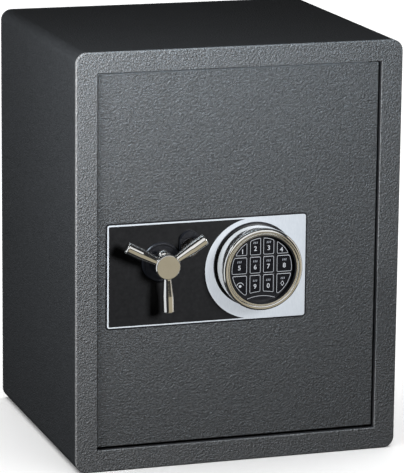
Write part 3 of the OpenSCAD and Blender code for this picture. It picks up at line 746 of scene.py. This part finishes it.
def arc(x, z, radius, start, step, count):
    """count points on a circle about (x, z), from the angle start on, in degrees."""
    angles = (math.radians(start + step * k) for k in range(count))
    return [Vector((x + radius * math.cos(a), z + radius * math.sin(a))) for a in angles]


def circle(x, z, radius, steps=32):
    return [Vector((x + radius * math.cos(math.tau * k / steps), z + radius * math.sin(math.tau * k / steps)))
            for k in range(steps)]


def star_mark(node, x, z, y, body):
    dot = bmesh.new()
    prism(dot, circle(x, z, DOT_R), y, y - PRINT_T)
    piece(node + "_dot", dot, body, "key_plastic", WHITE_INK)
    outer, inner = [arc(x, z, r, BOW_START, BOW_STEP, BOW_STEPS + 1) for r in (BOW_OUTER_R, BOW_INNER_R)]
    bow = bmesh.new()
    prism(bow, outer + inner[::-1], y, y - PRINT_T)
    piece(node + "_bow", bow, body, "key_plastic", SILVER_INK)


def enter_mark(node, x, z, y, body):
    outer = [Vector((x + DIAMOND_X + u, z + DIAMOND_Z + v)) for u, v in DIAMOND]
    print_strip(node + "_mark", outer, inset(outer, DIAMOND_LINE_W), y, body, WHITE_INK)
    print_bars(node + "_bars", x + ENTER_BARS_X, z + ENTER_BARS_Z, y, body)


def key(name):
    """One key: the rounded CAD shape, its silver outline and what is printed on it."""
    node, body = "key_" + name, "button_" + name
    soften(node, "key_plastic", KEY_PLASTIC, 0.3, 2)
    lo, hi = spans(node)
    outline = rounded_outline(inset(front_outline(node), OUTLINE_GAP), OUTLINE_CUT)
    print_strip(node + "_outline", outline, inset(outline, LINE_W), lo.y, body, SILVER_INK)
    x = (lo.x + hi.x) / 2
    z = lo.z + DIGIT_LEVEL * (hi.z - lo.z)
    if name == "star":
        star_mark(node, x + STAR_X, z + STAR_Z, lo.y, body)
    elif name == "enter":
        enter_mark(node, x, z, lo.y, body)
    elif name in ("1", "4"):
        x += math.copysign(CORNER_IN, (face_lo.x + face_hi.x) / 2 - x)
        print_digit(node + "_digit", name, x, z - CORNER_DOWN, lo.y, DIGIT_H, body)
    else:
        print_digit(node + "_digit", name, x, z, lo.y, DIGIT_H, body)
        print_bars(node + "_bars", x, z + BARS_UP, lo.y, body)


def face_arc():
    """The fine silver arc below the keys."""
    radius, drop, half_angle, steps = 46, 75.5, 19.6, 24
    face_y = spans("key_2")[0].y + KEY_PROUD
    bm = bmesh.new()
    arcs = []
    for r in (radius - LINE_W / 2, radius + LINE_W / 2):
        arcs.append([
            Vector((keypad_x + r * math.sin(a), keypad_z - drop + r * math.cos(a)))
            for a in (math.radians(half_angle * (2 * k / steps - 1)) for k in range(steps + 1))
        ])
    prism(bm, arcs[0] + arcs[1][::-1], face_y, face_y - PRINT_T)
    piece("keypad_face_arc", bm, "door", "key_plastic", SILVER_INK)


keypad_base()
keypad_ring()
frame["nodes"]["keypad_face"].data.materials[0] = BLACK_PLASTIC
face_arc()
for key_name in ("1", "2", "3", "4", "5", "6", "7", "8", "star", "9", "0", "enter"):
    key(key_name)

# ---- Camera, lights and floor ----


def point_camera(name, target, azimuth, elevation, distance, lens, roll):
    """A camera at distance from target, seen from azimuth and elevation, turned by roll."""
    a, e = math.radians(azimuth), math.radians(elevation)
    back = Vector((math.sin(a) * math.cos(e), -math.cos(a) * math.cos(e), math.sin(e)))
    camera = bpy.data.objects.new(name, bpy.data.cameras.new(name))
    bpy.context.scene.collection.objects.link(camera)
    turn = (-back).to_track_quat("-Z", "Y").to_matrix().to_4x4()
    place = Matrix.Translation(Vector(target) + back * distance)
    camera.matrix_world = place @ turn @ Matrix.Rotation(roll, 4, "Z")
    camera.data.lens = lens
    camera.data.clip_start = 0.05
    camera.data.clip_end = 100
    bpy.context.scene.camera = camera


def soft_box(name, place, target, width, height, power, color, skips=(), only=(), no_shadow=()):
    """A soft light panel that skips some objects, or lights only some.

    The objects in no_shadow cast no shadow in its light.
    """
    light = bpy.data.lights.new(name, "AREA")
    light.shape = "RECTANGLE"
    light.size = width
    light.size_y = height
    light.energy = power
    light.color = color
    made = bpy.data.objects.new(name, light)
    made.location = place
    made.rotation_euler = (Vector(target) - Vector(place)).to_track_quat("-Z", "Y").to_euler()
    bpy.context.scene.collection.objects.link(made)
    linking = made.light_linking
    if only:
        linking.receiver_collection = group_of(name + "_lights", only, "INCLUDE")
    if skips:
        linking.receiver_collection = group_of(name + "_skips", skips, "EXCLUDE")
    if no_shadow:
        linking.blocker_collection = group_of(name + "_unblocked", no_shadow, "EXCLUDE")


def group_of(name, objects, state):
    """A collection of objects for light linking."""
    group = bpy.data.collections.new(name)
    for member in objects:
        group.objects.link(member)
    for member in group.collection_objects:
        member.light_linking.link_state = state
    return group


def floor_look():
    look = Look("floor", (0.86, 0.86, 0.86), 0.7)
    look.color(look.tint(look.noise(3, 2), (0.85, 0.85, 0.85), (0.87, 0.87, 0.87)))
    return look.material


def add_floor(half):
    """A pale floor that the safe neither mirrors nor takes light from."""
    bm = bmesh.new()
    loft(bm, [[Vector((x * s, y * s, 0)) for x, y in ((-1, -1), (1, -1), (1, 1), (-1, 1))]
              for s in (half, half / 3, half / 9)], first_cap=False)
    mesh = bpy.data.meshes.new("floor")
    bm.to_mesh(mesh)
    bm.free()
    mesh.materials.append(floor_look())
    made = bpy.data.objects.new("floor", mesh)
    bpy.context.scene.collection.objects.link(made)
    made.visible_glossy = False
    made.visible_diffuse = False
    return made


def surround(strength, seen):
    """The room's light: a dim grey all round, and another colour where the camera sees it."""
    world = bpy.data.worlds.new("studio")
    bpy.context.scene.world = world
    world.use_nodes = True
    tree = world.node_tree
    mix = tree.nodes.new("ShaderNodeMix")
    mix.data_type = "RGBA"
    mix.inputs["A"].default_value = (strength, strength, strength, 1)
    mix.inputs["B"].default_value = (*seen, 1)
    is_seen = tree.nodes.new("ShaderNodeLightPath").outputs["Is Camera Ray"]
    tree.links.new(is_seen, mix.inputs["Factor"])
    tree.links.new(mix.outputs["Result"], tree.nodes["Background"].inputs["Color"])


def named(*starts):
    """The scene's mesh objects whose names start with one of these."""
    return [o for o in bpy.context.scene.objects if o.type == "MESH" and o.name.startswith(starts)]


def card(name, place, target, width, height, brightness, color, sees):
    """A reflector card of that brightness, which only the objects in sees reflect."""
    soft_box(name, place, target, width, height, math.pi * width * height * brightness, color, only=sees)


def on_floor(name, strength, shadow, floor):
    """Even light from above that reaches only the floor."""
    sun = bpy.data.lights.new(name, "SUN")
    sun.energy = strength
    sun.angle = math.radians(80)
    sun.use_shadow = shadow
    made = bpy.data.objects.new(name, sun)
    bpy.context.scene.collection.objects.link(made)
    made.light_linking.receiver_collection = group_of(name + "_lights", [floor], "INCLUDE")


# What the lamps point at: the safe's front, its lock plate and its middle
FACE, LOCK, MIDDLE = (0, -0.15, 0.3), (-0.03, -0.17, 0.22), (0, 0, 0.22)
# Places that more than one lamp shares
AT_RIGHT, ABOVE, AT_LEFT = (0.40, -1.25, 0.64), (-0.10, -0.45, 0.85), (-0.50, -0.30, 0.50)
WHITE, WARM = (1, 1, 1), (1, 0.96, 0.92)
PALE, COOL, BLUE = (0.95, 0.97, 1), (0.86, 0.93, 1), (0.68, 0.86, 1)
ROOM_GREY = 0.03
FLOOR_HALF = 9


def light_plate(chrome, fittings):
    """Lamps for the lock plate, the keypad and the handle, which light nothing else."""
    plate = named("lock_plate")
    matt = [made for made in fittings if made not in chrome and made not in plate]
    dark_parts = named("key_escutcheon", "handle_rose")
    # The keys are among these, but not the keypad's ring, base and face
    side_lit = named("lock_plate", "fascia_", "key_", "handle_")
    soft_box("plate_key", AT_RIGHT, LOCK, 0.34, 0.34, 13, PALE, only=matt)
    soft_box("silver_key", AT_RIGHT, LOCK, 0.34, 0.34, 5.5, PALE, only=plate)
    soft_box("silver_fill", (-0.85, -0.75, 0.8), LOCK, 0.5, 0.5, 25, (0.93, 0.965, 1), only=plate,
             no_shadow=fittings)
    soft_box("silver_warm", (-0.5, -0.9, -0.25), LOCK, 0.5, 0.5, 3, (1, 0.78, 0.45), only=plate)
    soft_box("edge_light", (-0.7, -0.45, 0.95), LOCK, 0.35, 0.35, 14, (0.75, 0.87, 1), only=dark_parts,
             no_shadow=fittings)
    soft_box("side_fill", (1.3, 0.1, 0.5), LOCK, 0.6, 0.6, 14, WHITE, only=side_lit)


def light_cabinet(floor, fittings):
    """Lamps for the cabinet, mostly from the upper left, with a little from the right and from behind."""
    frame_front = named("front_frame")
    unblocked = [*fittings, *frame_front]
    # What the lamps skip, so that they light the whole cabinet, or all of it but the outer shell
    not_cabinet = [floor, *fittings]
    not_front = [*not_cabinet, *named("outer_shell")]
    soft_box("right_key", AT_RIGHT, FACE, 0.34, 0.34, 1.5, WARM, not_cabinet, no_shadow=unblocked)
    soft_box("front_soft", (-0.45, -0.75, 0.85), FACE, 0.4, 0.4, 6.2, WARM, not_front, no_shadow=unblocked)
    soft_box("front_top", ABOVE, FACE, 0.35, 0.35, 5.4, BLUE, not_front, no_shadow=unblocked)
    soft_box("front_left", AT_LEFT, FACE, 0.3, 0.3, 2.1, WHITE, not_front, no_shadow=fittings)
    soft_box("top_soft", ABOVE, FACE, 0.35, 0.35, 1.1, COOL, not_cabinet, no_shadow=unblocked)
    soft_box("left_near", AT_LEFT, FACE, 0.3, 0.3, 0.85, COOL, not_cabinet, no_shadow=fittings)
    soft_box("left_soft", (-1.0, -0.3, 0.5), MIDDLE, 0.5, 0.5, 2.0, COOL, not_cabinet, no_shadow=fittings)
    soft_box("left_rear", (-1.0, 0.6, 0.5), MIDDLE, 0.5, 0.5, 1.1, COOL, not_cabinet, no_shadow=fittings)
    soft_box("back_light", (1.1, 1.1, 0.19), (0, 0, 0.19), 0.8, 0.5, 10, WHITE, not_cabinet)
    soft_box("rim_light", (-0.8, -0.25, 0.6), (-0.17, -0.15, 0.3), 0.25, 0.25, 15, WHITE, only=frame_front)


def reflect_in_chrome(chrome):
    """Cards that only the chrome reflects. The low one skips the boss, the middle one is for the ring."""
    boss = named("handle_boss")
    low_chrome = [made for made in chrome if made not in boss]
    card("left_card", (-1.52, 0.07, 0.35), LOCK, 3.0, 2.4, 0.85, (0.93, 0.96, 1), chrome)
    card("top_card", (0.06, -1.46, 1.02), LOCK, 2.1, 1.34, 0.9, WHITE, chrome)
    card("low_card", (0.57, -1.27, -0.6), LOCK, 2.2, 1.6, 0.47, (0.8, 0.71, 0.51), low_chrome)
    card("mid_card", (-1.0, -3.7, 0.75), LOCK, 1.7, 1.5, 0.26, (0.8, 0.7, 0.47), named("keypad_ring"))
    card("right_card", (1.44, -0.32, 0.22), LOCK, 1.0, 1.6, 0.7, (1, 0.94, 0.84), chrome)


def studio(floor):
    """The room, lamps for the cabinet, and separate lamps and cards for what is on the lock plate."""
    surround(ROOM_GREY, WHITE)
    chrome = named("handle_hub", "handle_boss", "handle_spoke", "keypad_ring", "key_barrel")
    fittings = named("lock_plate", "fascia_", "key_", "keypad_", "handle_")
    light_plate(chrome, fittings)
    light_cabinet(floor, fittings)
    reflect_in_chrome(chrome)
    on_floor("floor_light", 3.1, True, floor)
    on_floor("floor_fill", 1.6, False, floor)
    bpy.context.scene.view_settings.view_transform = "Standard"


point_camera("camera", target=(0.00843, 0, 0.21205), azimuth=-18.18, elevation=12.90, distance=3.4184,
             lens=235.14, roll=0.0098)
studio(add_floor(FLOOR_HALF))
